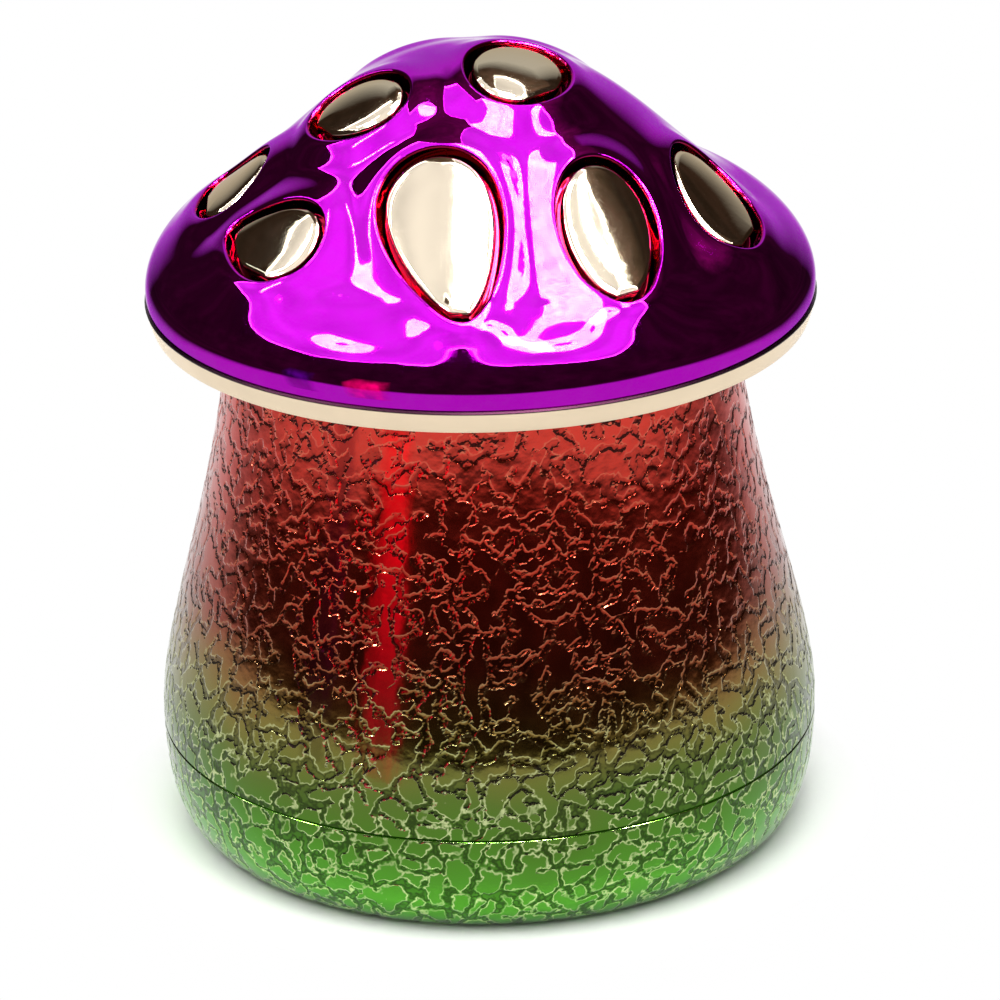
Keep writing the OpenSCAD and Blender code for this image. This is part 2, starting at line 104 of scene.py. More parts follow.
# ---- Detail of the looks, in millimetres ----
LIP_ROUND = 0.35
WALL_LEAN = 0.03
INLAY_ROUND = 0.3
RING_LIMIT_R = 30.3
NET_BACK = 2.2
HOLLOW_FOCUS_Z = 4.0
RING_SIDES = 168
FILL_STEP = 0.55
RIM_COLUMNS = 384
GRAIN_COLUMNS = 640
GRAIN_ROW = 0.31
CELL_WIDE = 2.4
CELL_HIGH = 1.9
CELL_SPREAD = 0.92
CHANNEL_HALF = 0.3
CHANNEL_LEAST = 0.16
# Wander of the grain: depth, size of the bumps, step of the seed
GRAIN_WARPS = [(0.7, 2.3, 0), (0.36, 1.0, 2), (0.16, 0.5, 4)]
# Share of the channels that is left out near the foot and near the neck, and where it changes over
BRIDGED = (0.16, 0.38)
BRIDGED_ARC = (18, 32)
EDGE_HALF = 0.12
EDGE_REACH = 0.28
EDGE_PULL = 0.13
SKIN_FADE = 0.3
ISLAND_TOP = 0.02
CHANNEL_FLOOR = -0.05
RELIEF_SHARE = 0.12
RAGGED = 0.8

# ---- Detail of the looks, in metres ----
STEP_HEIGHT = 0.00006
# Width of the painted shadow line on the band just under the cap's seam
GAP_SHADE_WIDTH = 0.0003

# ---- Studio and camera, in metres and degrees ----
CARD_LIFT = 0.0015
PANEL_HEIGHT = 0.655
PANEL_RIM_HEIGHT = 0.66
PANEL_RIM_SCALE = 1.04
PANEL_MIDDLE_Y = -0.3
STRIP_HEIGHT = 0.65
HEAD_HEIGHT = 0.57
FLOOR_PLAIN = 0.0305
FLOOR_WHITE = 0.037
CAMERA_AWAY = 0.584
CAMERA_ELEVATION = 22.44
CAMERA_ROLL = -1.25
CAMERA_LENS = 221.6
CAMERA_SHIFT = (0.0156, -0.0352)
LOOK_HEIGHT = 0.035


# ---- Small maths helpers ----
def bezier(points, steps):
    """Points on a cubic curve, ends included."""
    p = np.array(points, float)
    t = np.linspace(0, 1, steps + 1)[:, None]
    return (1 - t) ** 3 * p[0] + 3 * t * (1 - t) ** 2 * p[1] + 3 * t * t * (1 - t) * p[2] + t ** 3 * p[3]


def joined(*curves):
    """Curves end to end, without the doubled points."""
    return np.vstack([curves[0]] + [c[1:] for c in curves[1:]])


def arc_length(outline):
    steps = np.hypot(*np.diff(outline, axis=0).T)
    return np.concatenate([[0], np.cumsum(steps)])


def outline_normals(outline):
    """Unit normals to the right of the way that the outline runs."""
    d = np.gradient(outline, axis=0)
    d /= np.hypot(d[:, 0], d[:, 1])[:, None]
    return np.column_stack([d[:, 1], -d[:, 0]])


def smooth(low, high, x):
    t = np.clip((x - low) / (high - low), 0, 1)
    return t * t * (3 - 2 * t)


def unit(v):
    return v / np.linalg.norm(v, axis=-1, keepdims=True)


# ---- Deterministic noise ----
def lattice(ix, iy, iz, seed):
    """A number from 0 to 1 for each whole-number corner."""
    h = (ix.astype(np.int64) * 374761393 + iy.astype(np.int64) * 668265263
         + iz.astype(np.int64) * 2147483647 + seed * 1274126177) & 0xFFFFFFFF
    h = ((h ^ (h >> 13)) * 1274126177) & 0xFFFFFFFF
    h = ((h ^ (h >> 16)) * 2246822519) & 0xFFFFFFFF
    return ((h ^ (h >> 15)) & 0xFFFFFF) / float(0xFFFFFF)


def noise(p, size, seed):
    """Smooth noise from -1 to 1 in space, with bumps of the given size."""
    q = p / size
    base = np.floor(q).astype(np.int64)
    f = q - base
    f = f * f * f * (f * (f * 6 - 15) + 10)
    total = np.zeros(len(p))
    for dx in (0, 1):
        for dy in (0, 1):
            for dz in (0, 1):
                weight = (np.where(dx, f[:, 0], 1 - f[:, 0]) * np.where(dy, f[:, 1], 1 - f[:, 1])
                          * np.where(dz, f[:, 2], 1 - f[:, 2]))
                total += weight * lattice(base[:, 0] + dx, base[:, 1] + dy, base[:, 2] + dz, seed)
    return total * 2 - 1


# ---- Meshes ----
def make_mesh(name, points, faces, normals=None, attributes=None):
    """A smooth mesh from points in millimetres; normals and attributes are given per point."""
    mesh = bpy.data.meshes.new(name)
    mesh.from_pydata((np.asarray(points) * MM).tolist(), [], faces)
    mesh.validate()
    mesh.polygons.foreach_set("use_smooth", [True] * len(mesh.polygons))
    for key, values in (attributes or {}).items():
        layer = mesh.attributes.new(key, "FLOAT", "POINT")
        layer.data.foreach_set("value", np.asarray(values, np.float32))
    mesh.update()
    if normals is not None:
        mesh.normals_split_custom_set_from_vertices(normals.tolist())
    obj = bpy.data.objects.new(name, mesh)
    bpy.context.scene.collection.objects.link(obj)
    return obj


def around(radius, z, columns):
    """A ring of points about the axis."""
    a = np.arange(columns) * 2 * math.pi / columns
    r = np.broadcast_to(radius, a.shape)
    return np.column_stack([r * np.sin(a), -r * np.cos(a), np.broadcast_to(z, a.shape)])


def strip(low, high, columns):
    """Quads between two rings of equal count, seen from outside when high lies above low."""
    following = [(j + 1) % columns for j in range(columns)]
    return [(low + j, low + n, high + n, high + j) for j, n in enumerate(following)]


def stitch(fine, coarse, columns, share, flip):
    """Triangles between a fine ring and a ring with fewer points."""
    faces = []
    for j in range(columns // share):
        here, after = coarse + j, coarse + (j + 1) % (columns // share)
        for k in range(share):
            a = fine + j * share + k
            b = fine + (j * share + k + 1) % columns
            faces.append((a, b, here))
        faces.append((here, fine + ((j + 1) * share) % columns, after))
    return [f[::-1] for f in faces] if flip else faces


def vertex_normals(points, faces):
    """Area-weighted normals of triangles."""
    tri = np.array(faces)
    p = points[tri]
    n = np.cross(p[:, 1] - p[:, 0], p[:, 2] - p[:, 0])
    total = np.zeros_like(points)
    for k in range(3):
        np.add.at(total, tri[:, k], n)
    return total / np.maximum(np.linalg.norm(total, axis=1, keepdims=True), 1e-12)


# ---- The cap's plain surface ----
SLOPE_HANDLE = (-6.9, 3.25)
SIDE_SHARE = 0.25
cap_outline = joined(
    bezier([(RIM_R, 0), (CAP_R - 0.05, 0.25), (CAP_R, 0.6), (CAP_R, BRIM_RISE)], 60),
    bezier([
        (CAP_R, BRIM_RISE),
        (CAP_R, BRIM_RISE + BRIM_HANDLE),
        (SHOULDER[0] - SLOPE_HANDLE[0] * SIDE_SHARE, SHOULDER[1] - SLOPE_HANDLE[1] * SIDE_SHARE),
        SHOULDER
    ], 160),
    bezier([
        SHOULDER,
        (SHOULDER[0] + SLOPE_HANDLE[0], SHOULDER[1] + SLOPE_HANDLE[1]),
        (CAP_R * 0.43, CAP_H),
        (0, CAP_H)
    ], 600),
)[::-1]
cap_arc = arc_length(cap_outline)
cap_end = cap_arc[-1]
cap_out = -outline_normals(cap_outline)
cap_out[0] = (0, 1)
widest = int(np.argmax(cap_outline[:, 0]))


def cap_height(r):
    return np.interp(r, cap_outline[:widest + 1, 0], cap_outline[:widest + 1, 1])


def cap_slope(r):
    return (cap_height(r + 0.01) - cap_height(r - 0.01)) / 0.02


def cap_plain(s, bearing):
    """Point and normal of the plain surface at an arc length from the apex and a bearing."""
    r = np.interp(s, cap_arc, cap_outline[:, 0])
    z = np.interp(s, cap_arc, cap_outline[:, 1])
    nr = np.interp(s, cap_arc, cap_out[:, 0])
    nz = np.interp(s, cap_arc, cap_out[:, 1])
    sin, cos = np.sin(bearing), np.cos(bearing)
    return np.column_stack([r * sin, -r * cos, z]), unit(np.column_stack([nr * sin, -nr * cos, nz]))


def to_plane(p):
    """Plane coordinates (arc length and bearing laid flat) of points on the cap's slope."""
    r = np.hypot(p[:, 0], p[:, 1])
    s = np.interp(r, cap_outline[:widest + 1, 0], cap_arc[:widest + 1])
    return p[:, :2] * (s / np.maximum(r, 1e-9))[:, None]


def from_plane(q):
    s = np.hypot(q[:, 0], q[:, 1])
    return cap_plain(s, np.arctan2(q[:, 0], -q[:, 1]))


# ---- Spots ----
class Spot:
    """The frame and egg outline of one spot."""

    def __init__(self, row):
        bearing, radius, length, width, lean, self.egg = row
        self.a = length * CAP_R / 100
        self.b = width * CAP_R / 100
        r = radius * CAP_R / 100
        b = math.radians(bearing)
        tilt = math.atan((cap_height(r - 0.5) - cap_height(r + 0.5)))
        self.middle = np.array([r * math.sin(b), -r * math.cos(b), float(cap_height(r))])
        self.normal = np.array([
            math.sin(tilt) * math.sin(b),
            -math.sin(tilt) * math.cos(b),
            math.cos(tilt),
        ])
        across = np.array([math.cos(b), math.sin(b), 0])
        uphill = np.cross(self.normal, across)
        turn = math.radians(lean)
        self.long = math.cos(turn) * across + math.sin(turn) * uphill
        self.wide = math.cos(turn) * uphill - math.sin(turn) * across
        self.down = (-math.sin(turn), -math.cos(turn))

    def outline(self, t):
        return np.column_stack([self.a * np.cos(t), self.b * (1 + self.egg * np.cos(t)) * np.sin(t)])

    def offset(self, t, margin):
        """The outline moved out square to itself."""
        d = np.column_stack([
            -self.a * np.sin(t),
            self.b * (np.cos(t) + self.egg * np.cos(2 * t)),
        ])
        d = unit(d)
        return self.outline(t) + margin * np.column_stack([d[:, 1], -d[:, 0]])

    def distance(self, points):
        """Distance outside the outline, negative inside, of points of the cap's plain surface."""
        d = points - self.middle
        u, v = d @ self.long, d @ self.wide
        result = np.full(len(points), 99.0)
        near = np.hypot(u, v) < self.a + 3 * LIP_FADE
        near &= d @ self.normal > -9
        q = np.column_stack([u[near], v[near]])
        if not len(q):
            return result
        samples = np.linspace(0, 2 * math.pi, 97)[:-1]
        curve = self.outline(samples)
        t = np.empty(len(q))
        for i in range(0, len(q), 20000):
            part = q[i:i + 20000]
            gap = (part[:, :1] - curve[:, 0]) ** 2 + (part[:, 1:] - curve[:, 1]) ** 2
            t[i:i + 20000] = samples[np.argmin(gap, axis=1)]
        for _ in range(4):
            c = self.outline(t) - q
            sin, cos = np.sin(t), np.cos(t)
            first = np.column_stack([-self.a * sin, self.b * (cos + self.egg * np.cos(2 * t))])
            second = np.column_stack([-self.a * cos, -self.b * (sin + 2 * self.egg * np.sin(2 * t))])
            slope = (first ** 2).sum(1) + (c * second).sum(1)
            step = (c * first).sum(1) / np.where(slope > 1e-3, slope, np.inf)
            t = t - np.clip(step, -0.1, 0.1)
        c = self.outline(t) - q
        share = np.clip(q[:, 0] / self.a, -1, 1)
        inside = np.hypot(q[:, 0] / self.a, q[:, 1] / (self.b * (1 + self.egg * share))) < 1
        result[near] = np.hypot(c[:, 0], c[:, 1]) * np.where(inside, -1, 1)
        return result

    def on_cap(self, uv):
        """Points of the cap's plain surface under the spot's own coordinates."""
        p = self.middle + uv[:, :1] * self.long + uv[:, 1:] * self.wide
        for _ in range(8):
            r = np.hypot(p[:, 0], p[:, 1])
            out = (p[:, 0] * self.normal[0] + p[:, 1] * self.normal[1]) / np.maximum(r, 1e-9)
            rate = self.normal[2] - cap_slope(r) * out
            p = p - ((p[:, 2] - cap_height(r)) / rate)[:, None] * self.normal
        return p


spots = [Spot(row) for row in SPOT_TABLE]


def spot_distances(points):
    return np.array([s.distance(points) for s in spots])


def cap_lift(distances):
    """Height over the plain surface: swollen lips, rounded rims and pockets."""
    lips = LIP_H * np.exp(-2 * (np.maximum(distances - GROOVE_W, 0) / LIP_FADE) ** 2)
    lift = np.sqrt((lips ** 2).sum(0))
    nearest = distances.min(0)
    into = np.clip((nearest - GROOVE_W) / LIP_ROUND, 0, 1)
    lift = lift - LIP_ROUND * (1 - np.sqrt(1 - (1 - into) ** 2))
    floor = -POCKET_DEPTH
    wall = np.clip((GROOVE_W - nearest) / WALL_LEAN, 0, 1)
    return lift * (1 - wall) + floor * wall


def cap_surface(q):
    base, normal = from_plane(q)
    distances = spot_distances(base)
    return base + cap_lift(distances)[:, None] * normal, distances.min(0)


def rings_round_spots():
    """Points at set distances from each spot's outline, and loops along the pocket's wall."""
    margins = [-2.4, -1.0, 0.25, GROOVE_W - WALL_LEAN, GROOVE_W]
    margins += [GROOVE_W + LIP_ROUND * (1 - math.cos(math.radians(a))) for a in (18, 32, 46, 60, 75, 90)]
    margins += [1.15, 1.35, 1.6, 1.9, 2.25]
    t = np.arange(RING_SIDES) * 2 * math.pi / RING_SIDES
    rings = []
    loops = []
    count = 0
    for spot in spots:
        for margin in margins:
            p = spot.on_cap(spot.offset(t, margin))
            keep = np.hypot(p[:, 0], p[:, 1]) < RING_LIMIT_R
            others = np.array([s.distance(p) for s in spots if s is not spot]).min(0)
            keep &= others > max(margin, GROOVE_W) + 0.06
            plane = to_plane(p)[keep]
            if keep.all() and margin in (GROOVE_W - WALL_LEAN, GROOVE_W):
                loops += [(count + i, count + (i + 1) % len(plane)) for i in range(len(plane))]
            rings.append(plane)
            count += len(plane)
    return rings, loops


def net_between_spots():
    """An even net of points, clear of the spots and of the rim."""
    rows = np.arange(-cap_end, cap_end, FILL_STEP * 0.866)
    columns = np.arange(-cap_end, cap_end, FILL_STEP)
    x, y = np.meshgrid(columns, rows)
    x = x + (np.arange(len(rows)) % 2 * FILL_STEP / 2)[:, None]
    net = np.column_stack([x.ravel(), y.ravel()])
    net = net[np.hypot(net[:, 0], net[:, 1]) < cap_end - NET_BACK]
    base, _ = from_plane(net)
    return net[spot_distances(base).min(0) > 2.4]


def rings_at_rim(count):
    """Rings of points that close in on the rim, and a loop along the last of them."""
    angles = np.arange(RIM_COLUMNS) * 2 * math.pi / RIM_COLUMNS
    rings = []
    for back in (2.0, 1.75, 1.5, 1.25, 1.0, 0.8, 0.6, 0.4, 0.2, 0):
        s = cap_end - back
        rings.append(np.column_stack([s * np.sin(angles), -s * np.cos(angles)]))
    last = count + (len(rings) - 1) * RIM_COLUMNS
    loop = [(last + i, last + (i + 1) % RIM_COLUMNS) for i in range(RIM_COLUMNS)]
    return rings, loop


def cap_top():
    """The cap's outside: points of the plane, points in space, faces, normals, and distance to a spot."""
    rings, loops = rings_round_spots()
    chosen = rings + [net_between_spots()]
    edge_rings, edge_loop = rings_at_rim(sum(len(c) for c in chosen))
    plane = np.vstack(chosen + edge_rings)
    found = delaunay_2d_cdt([Vector(p) for p in plane], loops + edge_loop, [], 0, 1e-7)
    plane = np.array([tuple(v) for v in found[0]])
    faces = [tuple(f) for f in found[2]]
    points, nearest = cap_surface(plane)
    normals = vertex_normals(points, faces)
    if normals[:, 2].sum() < 0:
        faces = [f[::-1] for f in faces]
        normals = -normals
    step = 0.02
    east, _ = cap_surface(plane + (step, 0))
    west, _ = cap_surface(plane - (step, 0))
    north, _ = cap_surface(plane + (0, step))
    south, _ = cap_surface(plane - (0, step))
    exact = unit(np.cross(east - west, north - south))
    use = (nearest > GROOVE_W + 0.06) & (np.hypot(plane[:, 0], plane[:, 1]) < cap_end - 0.05)
    normals[use] = exact[use]
    return plane, points, faces, normals, nearest


def cap_underside(plane):
    """The flat rim and the hollow: rings of points with a last one in the middle, faces and normals."""
    rim = [i for i in range(len(plane)) if abs(math.hypot(*plane[i]) - cap_end) < 1e-4]
    rim.sort(key=lambda i: math.atan2(plane[i][0], -plane[i][1]) % (2 * math.pi))
    inner_r = RIM_R - CAP_WALL
    inner = cap_outline - CAP_WALL * cap_out
    inner = inner[(inner[:, 0] < inner_r) & (inner[:, 1] > 0.5)][::-24]
    rows = [(inner_r, 0.0)] + [tuple(p) for p in inner if p[0] > 0.3]
    count = len(plane)
    under = [around(r, z, RIM_COLUMNS) for r, z in rows]
    apex = np.array([[0, 0, inner[-1][1]]])
    points = np.vstack(under + [apex])
    faces = []
    for j in range(RIM_COLUMNS):
        n = (j + 1) % RIM_COLUMNS
        faces.append((rim[j], count + j, count + n, rim[n]))
        for i in range(len(rows) - 1):
            low = count + i * RIM_COLUMNS
            faces.append((low + j, low + RIM_COLUMNS + j, low + RIM_COLUMNS + n, low + n))
        low = count + (len(rows) - 1) * RIM_COLUMNS
        faces.append((low + j, count + len(rows) * RIM_COLUMNS, low + n))
    normals = np.tile((0.0, 0.0, -1.0), (len(points), 1))
    for i in range(1, len(rows)):
        ring = slice(i * RIM_COLUMNS, (i + 1) * RIM_COLUMNS)
        normals[ring] = unit(np.array([0, 0, HOLLOW_FOCUS_Z]) - under[i])
    return points, faces, normals


def build_cap():
    """The cap: swollen outside with pockets, flat rim and hollow."""
    plane, points, faces, normals, nearest = cap_top()
    under, under_faces, inward = cap_underside(plane)
    groove = np.concatenate([smooth(GROOVE_W + 0.22, GROOVE_W + 0.04, nearest), np.zeros(len(inward))])
    points = np.vstack([points, under])
    normals = np.vstack([normals, inward])
    points[:, 2] += CAP_Z
    return make_mesh("cap_skin", points, faces + under_faces, normals, {"groove": groove})


def build_inlay(number, spot):
    """A domed inlay with its lowest end cut flat."""
    sides = 128
    rings = 36
    t = np.arange(sides) * 2 * math.pi / sides
    egg = spot.outline(t)
    reach = egg @ spot.down
    limit = reach.max() - 0.32
    egg = egg - np.outer(np.maximum(reach - limit, 0), spot.down)
    floor = SEAT_GAP - POCKET_DEPTH
    layers = [(0.9, floor), (0.985, floor), (1.0, floor + 0.1)]
    for turn in np.radians(np.linspace(0, 75, 6)):
        share = 1 - INLAY_ROUND / spot.b * (1 - math.cos(turn))
        layers.append((share, INLAY_EDGE - INLAY_ROUND * (1 - math.sin(turn))))
    for q in np.linspace(layers[-1][0] - 0.03, 0.03, rings):
        layers.append((q, INLAY_EDGE + (INLAY_CROWN - INLAY_EDGE) * (1 - q ** 4)))
    points = []
    for share, lift in layers:
        points.append(spot.on_cap(egg * share) + lift * spot.normal)
    middle = spot.on_cap(np.zeros((1, 2)))
    points.append(middle + floor * spot.normal)
    points.append(middle + INLAY_CROWN * spot.normal)
    points = np.vstack(points)
    points[:, 2] += CAP_Z
    faces = []
    for i in range(len(layers) - 1):
        faces += strip(i * sides, (i + 1) * sides, sides)
    under = len(layers) * sides
    top = under - sides
    for j in range(sides):
        n = (j + 1) % sides
        faces.append((n, j, under))
        faces.append((top + j, top + n, under + 1))
    return make_mesh(f"inlay_{number}", points, faces)


# ---- Tray and stem ----
foot_curve = bezier([(FOOT_R, 0), (FOOT_R + 3.4, 0), (STEM_R, BELLY_Z - 8), (STEM_R, BELLY_Z)], 200)
stem_curve = bezier([
    (STEM_R, BELLY_Z),
    (STEM_R, BELLY_Z + 8.1),
    (NECK_R + 1.86, STEM_TOP_Z - 17.6),
    (NECK_R, STEM_TOP_Z)
], 400)
body_outline = joined(foot_curve, stem_curve)
body_arc = arc_length(body_outline)
body_out = outline_normals(body_outline)


def body_radius(z):
    return np.interp(z, body_outline[:, 1], body_outline[:, 0])


def grain(angle, arc, radius):
    """Distance inside an island of the leather grain, negative in the channels between them."""
    p = np.column_stack([np.sin(angle) * 30, -np.cos(angle) * 30, arc])
    warps = [sum(depth * noise(p, size, k + seed) for depth, size, seed in GRAIN_WARPS) for k in (1, 2)]
    columns = int(round(2 * math.pi * STEM_R / CELL_WIDE))
    cell_angle = 2 * math.pi / columns
    u = (angle + warps[0] / radius) / cell_angle
    v = (arc + warps[1]) / CELL_HIGH
    iu, iv = np.floor(u).astype(np.int64), np.floor(v).astype(np.int64)
    seeds = []
    for du in (-2, -1, 0, 1, 2):
        for dv in (-2, -1, 0, 1, 2):
            cu, cv = np.mod(iu + du, columns), iv + dv
            shift_u = CELL_SPREAD * (lattice(cu, cv, cv * 0, 11) - 0.5)
            shift_v = CELL_SPREAD * (lattice(cu, cv, cv * 0, 12) - 0.5)
            dx = (iu + du + 0.5 + shift_u - u) * cell_angle * radius
            dy = (iv + dv + 0.5 + shift_v - v) * CELL_HIGH
            seeds.append((dx, dy, cu * 4099 + cv))
    first = np.argmin([dx * dx + dy * dy for dx, dy, _ in seeds], axis=0)
    rows = np.arange(len(angle))
    near_x, near_y, near_key = (np.array([s[k] for s in seeds])[first, rows] for k in range(3))
    bridged = BRIDGED[0] + (BRIDGED[1] - BRIDGED[0]) * smooth(*BRIDGED_ARC, arc)
    edge = np.full(len(angle), 9.0)
    for dx, dy, key in seeds:
        ex, ey = dx - near_x, dy - near_y
        size = np.hypot(ex, ey)
        away = ((dx + near_x) * ex + (dy + near_y) * ey) / (2 * np.maximum(size, 1e-6))
        low, high = np.minimum(key, near_key), np.maximum(key, near_key)
        merged = lattice(low, high, low * 0, 21) < bridged
        edge = np.minimum(edge, np.where((size < 1e-6) | merged, 9.0, away))
    return edge - np.maximum(CHANNEL_HALF + 0.13 * noise(p, 3.5, 9), CHANNEL_LEAST)


def skin(low_z, high_z):
    """Rows of grained points from one height to another, gathered on the islands' edges."""
    low = np.interp(low_z, body_outline[:, 1], body_arc)
    high = np.interp(high_z, body_outline[:, 1], body_arc)
    count = max(2, int(round((high - low) / GRAIN_ROW))) + 1
    turns = np.arange(GRAIN_COLUMNS) * 2 * math.pi / GRAIN_COLUMNS
    angle, arc = np.meshgrid(turns, np.linspace(low, high, count))
    angle, arc = angle.ravel(), arc.ravel()
    radius = np.interp(arc, body_arc, body_outline[:, 0])
    inside = grain(angle, arc, radius)
    step = 0.02
    slope_x = (grain(angle + step / radius, arc, radius) - inside) / step
    slope_y = (grain(angle, arc + step, radius) - inside) / step
    steep = np.maximum(np.hypot(slope_x, slope_y), 0.3)
    target = np.where(inside > 0, EDGE_HALF, -EDGE_HALF)
    pull = np.clip((target - inside) / steep, -EDGE_PULL, EDGE_PULL)
    pull = np.where(np.abs(inside) < EDGE_REACH, pull, 0)
    along = np.zeros(len(arc))
    along[GRAIN_COLUMNS:-GRAIN_COLUMNS] = 1
    angle = angle + pull * slope_x / steep / radius
    arc = arc + pull * slope_y / steep * along
    r, z, nr, nz = (
        np.interp(arc, body_arc, column)
        for column in (body_outline[:, 0], body_outline[:, 1], body_out[:, 0], body_out[:, 1])
    )
    inside = np.clip(grain(angle, arc, r), -0.6, 1.0)
    lift = CHANNEL_FLOOR + (ISLAND_TOP - CHANNEL_FLOOR) * smooth(-EDGE_HALF, EDGE_HALF, inside)
    lift = lift * smooth(0, SKIN_FADE, arc - low) * smooth(0, SKIN_FADE, high - arc)
    r = r + lift * nr
    points = np.column_stack([r * np.sin(angle), -r * np.cos(angle), np.maximum(z + lift * nz, 0)])
    return points, inside, count


def build_body(name, skin_low, skin_high, inside):
    """Grained outside closed by a plain inside, given as (radius, height) from the top edge down."""
    share = 4
    coarse = GRAIN_COLUMNS // share
    points, inside_by, rows = skin(skin_low, skin_high)
    faces = []
    for i in range(rows - 1):
        faces += strip(i * GRAIN_COLUMNS, (i + 1) * GRAIN_COLUMNS, GRAIN_COLUMNS)
    start = len(points)
    blocks = [points]
    for r, z in inside:
        blocks.append(around(r, z, coarse))
    for i in range(len(inside) - 1):
        faces += strip(start + i * coarse, start + (i + 1) * coarse, coarse)
    faces += stitch((rows - 1) * GRAIN_COLUMNS, start, GRAIN_COLUMNS, share, False)
    faces += stitch(0, start + (len(inside) - 1) * coarse, GRAIN_COLUMNS, share, True)
    points = np.vstack(blocks)
    rest = len(points) - start
    return make_mesh(name, points, faces, None, {
        "inside": np.concatenate([inside_by, np.ones(rest)]),
        "outer": np.concatenate([np.ones(start), np.zeros(rest)]),
    })


def helix(name, wall_r, start_z, inwards):
    """A thread ridge on a wall, sunk a little into it."""
    foot, crest, sunk, sides = 1.1, 0.5, 0.3, 96
    if inwards:
        base, tip = wall_r + sunk, wall_r - THREAD_DEPTH
    else:
        base, tip = wall_r - sunk, wall_r + THREAD_DEPTH
    section = [(base, -foot / 2), (tip, -crest / 2), (tip, crest / 2), (base, foot / 2)]
    steps = int(sides * THREAD_TURNS)
    offset = math.pi if inwards else 0
    points = []
    for i in range(steps + 1):
        a = 2 * math.pi * i / sides + offset
        for r, z in section:
            points.append((r * math.cos(a), r * math.sin(a), start_z + THREAD_PITCH * i / sides + z))
    faces = []
    for i in range(steps):
        for k in range(4):
            a, b = 4 * i + k, 4 * i + (k + 1) % 4
            face = (a, b, b + 4, a + 4)
            faces.append(face[::-1] if inwards else face)
    ends = [(3, 2, 1, 0), tuple(4 * steps + k for k in range(4))]
    faces += [e[::-1] for e in ends] if inwards else ends
    plain = {"inside": [1.0] * len(points), "outer": [0.0] * len(points)}
    return make_mesh(name, points, faces, None, plain)


def join(pieces, name):
    bpy.ops.object.select_all(action="DESELECT")
    for p in pieces:
        p.select_set(True)
    bpy.context.view_layer.objects.active = pieces[0]
    bpy.ops.object.join()
    pieces[0].name = name
    return pieces[0]


def sharp_edges(obj, degrees):
    """Flat-looking corners where faces meet at more than an angle."""
    bpy.ops.object.select_all(action="DESELECT")
    obj.select_set(True)
    bpy.context.view_layer.objects.active = obj
    bpy.ops.object.shade_smooth_by_angle(angle=math.radians(degrees))


def read(collection, key, width):
    """One value, or one row of values, for each item of a mesh's list."""
    values = np.empty(len(collection) * width)
    collection.foreach_get(key, values)
    return values.reshape(-1, width) if width > 1 else values


def calm_skin(obj):
    """Lean the outside's normals towards the plain outline, so that the relief looks slight."""
    mesh = obj.data
    owner = read(mesh.loops, "vertex_index", 1).astype(int)
    starts = read(mesh.polygons, "loop_start", 1).astype(int)
    totals = read(mesh.polygons, "loop_total", 1).astype(int)
    outer = read(mesh.attributes["outer"].data, "value", 1)[owner]
    outer = np.repeat(np.minimum.reduceat(outer, starts), totals) > 0.5
    place = read(mesh.vertices, "co", 3)[owner] / MM
    normals = read(mesh.corner_normals, "vector", 3)
    radius = np.maximum(np.hypot(place[:, 0], place[:, 1]), 1e-6)
    nr, nz = (np.interp(place[:, 2], body_outline[:, 1], body_out[:, k]) for k in (0, 1))
    plain = unit(np.column_stack([nr * place[:, 0] / radius, nr * place[:, 1] / radius, nz]))
    leaned = unit(RELIEF_SHARE * normals + (1 - RELIEF_SHARE) * plain)
    normals[outer] = leaned[outer]
    mesh.normals_split_custom_set(normals.tolist())


# ---- Materials ----
def linear(r, g, b):
    """sRGB 0 to 255 to linear colour."""
    def one(c):
        c /= 255
        return c / 12.92 if c <= 0.04045 else ((c + 0.055) / 1.055) ** 2.4
    return (one(r), one(g), one(b), 1)


